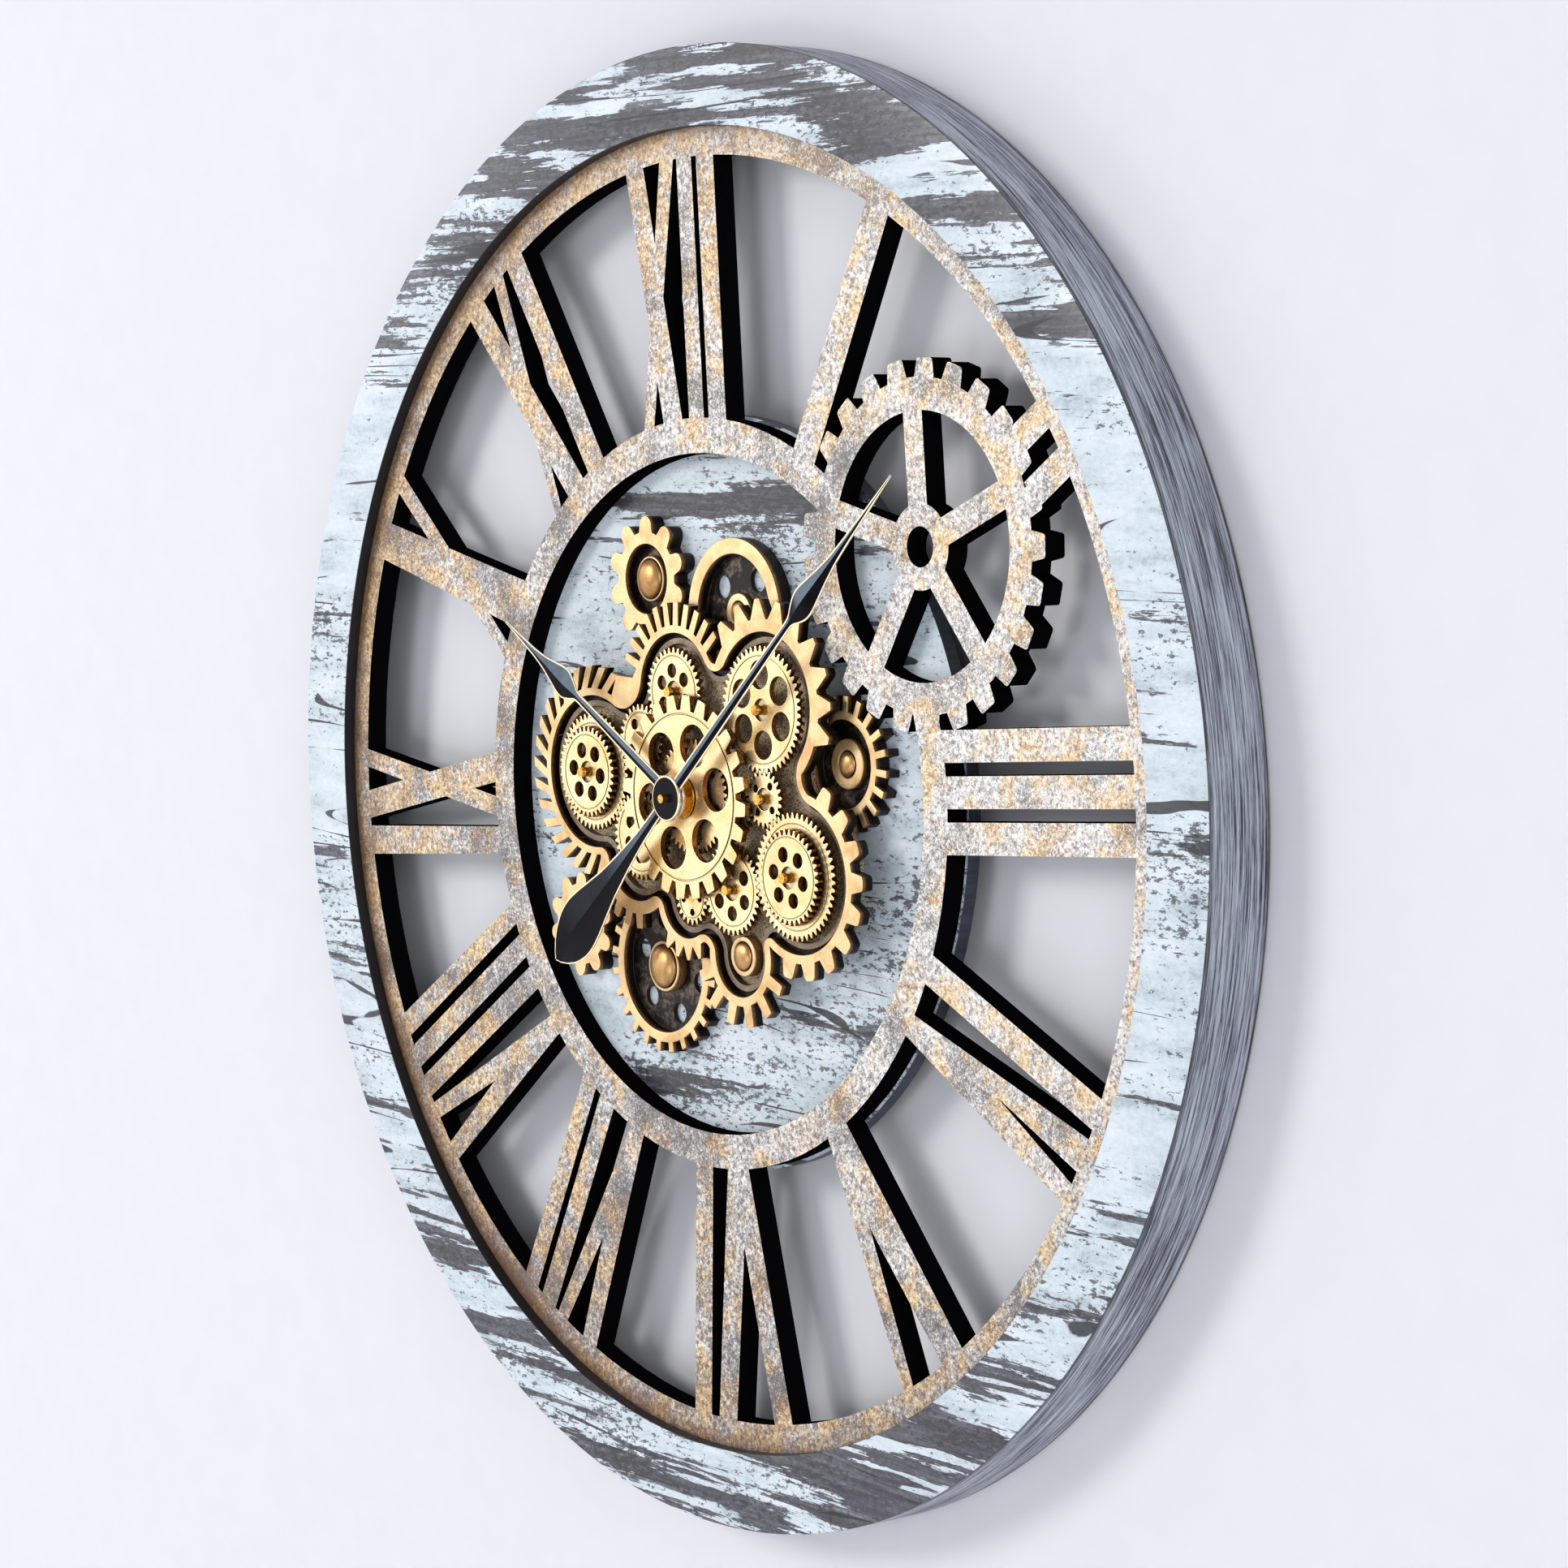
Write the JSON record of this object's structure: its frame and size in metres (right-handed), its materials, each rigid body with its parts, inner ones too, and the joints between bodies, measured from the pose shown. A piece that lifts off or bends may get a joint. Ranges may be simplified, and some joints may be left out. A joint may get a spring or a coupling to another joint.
{
  "type": "skeleton wall clock",
  "caption": "Round skeleton wall clock with cut-out numerals, a wood-print rim and centre, and a train of turning gears behind the hands.",
  "frame": {"origin": "centre of the clock's bounding box, which lies on the axis of the hands", "axes": "+X towards three o'clock, +Z towards twelve o'clock, +Y from the viewer to the wall"},
  "size_m": [0.6099, 0.047, 0.61],
  "materials": {
    "wood_face": "satin print of weathered pale blue boards",
    "wood_side": "brushed blue-grey",
    "plate": "distressed gold and grey with black edges",
    "gold": "satin champagne gold with dark patina",
    "bronze": "dark bronze",
    "floor": "textured dull bronze",
    "gear": "polished pale gold",
    "brass": "polished",
    "copper": "satin copper bronze",
    "hand": "gunmetal with pale gold edges",
    "steel": "zinc plated",
    "black_plastic": "moulded",
    "grey_plastic": "moulded",
    "cell": "plain sleeve",
    "board": "circuit board"
  },
  "bodies": {
    "case": {"aa_cells": "cell", "axle_pins": "brass", "bezel": "gold", "cell_contacts": "steel", "cell_holder": "black_plastic", "centre_disc": "wood_face", "centre_nut": "brass", "centre_sleeve": "brass", "centre_washer": "brass", "channel_liner": "bronze", "disc_screws": "steel", "face_ring": "wood_face", "floor_plate": "floor", "hanger_plate": "steel", "hanger_screws": "steel", "housing_rivets": "steel", "large_caps": "copper", "motor_can": "steel", "motor_case": "grey_plastic", "movement_bush": "brass", "movement_case": "black_plastic", "movement_lid": "black_plastic", "numeral_plate": "plate", "ornament_bottom_gear": "gold", "ornament_corner_gear": "gold", "ornament_screws": "steel", "ornament_side_gear": "gold", "ornament_top_gear": "gold", "ornament_top_ring": "gold", "quartz_board": "board", "quartz_coil": "copper", "side_hoop": "wood_side", "small_caps": "copper", "standoff_screws": "steel", "standoffs": "brass", "switch_body": "black_plastic"},
    "minute_hand_set": {"minute_hand": "hand", "minute_arbor": "brass"},
    "hour_hand_set": {"hour_hand": "hand", "hour_pipe": "brass"},
    "centre_set": {"centre_gear": "gear", "centre_fine_gear": "gear"},
    "left_set": {"left_gear": "gear", "left_top_gear": "gear"},
    "low_right_set": {"low_right_gear": "gear", "low_right_top_gear": "gear"},
    "low_left_set": {"low_left_gear": "gear"},
    "idler_set": {"left_idler": "gear"},
    "up_left_set": {"up_left_gear": "gear"},
    "up_right_set": {"up_right_gear": "gear"},
    "right_set": {"right_pinion": "gear"},
    "hidden_set": {"hidden_idler": "gear"},
    "lower_set": {"lower_gear": "gear"},
    "drive_set": {"drive_pinion": "gear", "motor_shaft": "steel"},
    "setting_set": {"setting_wheel": "grey_plastic"},
    "cell_cover_set": {"cell_cover": "black_plastic"},
    "holder_cover_set": {"holder_cover": "black_plastic"},
    "slider_set": {"switch_slider": "grey_plastic"}
  },
  "joints": [
    {"name": "minute_turn", "type": "hinge", "parent": "case", "child": "minute_hand_set", "pos_m": [0, 0, 0], "axis": [0, -1, 0], "continuous": true},
    {"name": "hour_turn", "type": "hinge", "parent": "case", "child": "hour_hand_set", "pos_m": [0, 0, 0], "axis": [0, -1, 0], "continuous": true},
    {"name": "setting_turn", "type": "hinge", "parent": "case", "child": "setting_set", "pos_m": [0.014, 0, 0.014], "axis": [0, -1, 0], "continuous": true},
    {"name": "centre_turn", "type": "hinge", "parent": "case", "child": "centre_set", "pos_m": [0, 0, 0], "axis": [0, -1, 0], "continuous": true},
    {"name": "low_left_turn", "type": "hinge", "parent": "case", "child": "low_left_set", "pos_m": [-0.03789, 0, -0.01566], "axis": [0, -1, 0], "continuous": true},
    {"name": "left_turn", "type": "hinge", "parent": "case", "child": "left_set", "pos_m": [-0.0695, 0, 0.012], "axis": [0, -1, 0], "continuous": true},
    {"name": "idler_turn", "type": "hinge", "parent": "case", "child": "idler_set", "pos_m": [-0.03361, 0, 0.02448], "axis": [0, -1, 0], "continuous": true},
    {"name": "up_left_turn", "type": "hinge", "parent": "case", "child": "up_left_set", "pos_m": [-0.0085, 0, 0.0435], "axis": [0, -1, 0], "continuous": true},
    {"name": "hidden_turn", "type": "hinge", "parent": "case", "child": "hidden_set", "pos_m": [0.03014, 0, -0.00725], "axis": [0, -1, 0], "continuous": true},
    {"name": "right_turn", "type": "hinge", "parent": "case", "child": "right_set", "pos_m": [0.0484, 0, -0.002], "axis": [0, -1, 0], "continuous": true},
    {"name": "up_right_turn", "type": "hinge", "parent": "case", "child": "up_right_set", "pos_m": [0.0501, 0, 0.03396], "axis": [0, -1, 0], "continuous": true},
    {"name": "low_right_turn", "type": "hinge", "parent": "case", "child": "low_right_set", "pos_m": [0.0658, 0, -0.03352], "axis": [0, -1, 0], "continuous": true},
    {"name": "lower_turn", "type": "hinge", "parent": "case", "child": "lower_set", "pos_m": [0.02309, 0, -0.03853], "axis": [0, -1, 0], "continuous": true},
    {"name": "drive_turn", "type": "hinge", "parent": "case", "child": "drive_set", "pos_m": [-0.00465, 0, -0.04233], "axis": [0, -1, 0], "continuous": true},
    {"name": "cell_cover_slide", "type": "slide", "parent": "case", "child": "cell_cover_set", "axis": [0, 0, -1], "range_m": [0, 0.022]},
    {"name": "holder_cover_slide", "type": "slide", "parent": "case", "child": "holder_cover_set", "axis": [1, 0, 0], "range_m": [0, 0.06]},
    {"name": "switch_slide", "type": "slide", "parent": "case", "child": "slider_set", "axis": [1, 0, 0], "range_m": [0, 0.003]}
  ],
  "couplings": [
    {"joint": "hour_turn", "follows": "minute_turn", "ratio": 0.083333},
    {"joint": "setting_turn", "follows": "minute_turn", "ratio": -1},
    {"joint": "low_left_turn", "follows": "centre_turn", "ratio": -1.2778},
    {"joint": "left_turn", "follows": "centre_turn", "ratio": 0.95833},
    {"joint": "idler_turn", "follows": "centre_turn", "ratio": -1.6429},
    {"joint": "up_left_turn", "follows": "centre_turn", "ratio": 1.3143},
    {"joint": "hidden_turn", "follows": "centre_turn", "ratio": -2.875},
    {"joint": "right_turn", "follows": "centre_turn", "ratio": 2.0909},
    {"joint": "up_right_turn", "follows": "centre_turn", "ratio": -0.92},
    {"joint": "low_right_turn", "follows": "centre_turn", "ratio": -0.92},
    {"joint": "lower_turn", "follows": "centre_turn", "ratio": 1.2778},
    {"joint": "drive_turn", "follows": "centre_turn", "ratio": -2.3}
  ]
}
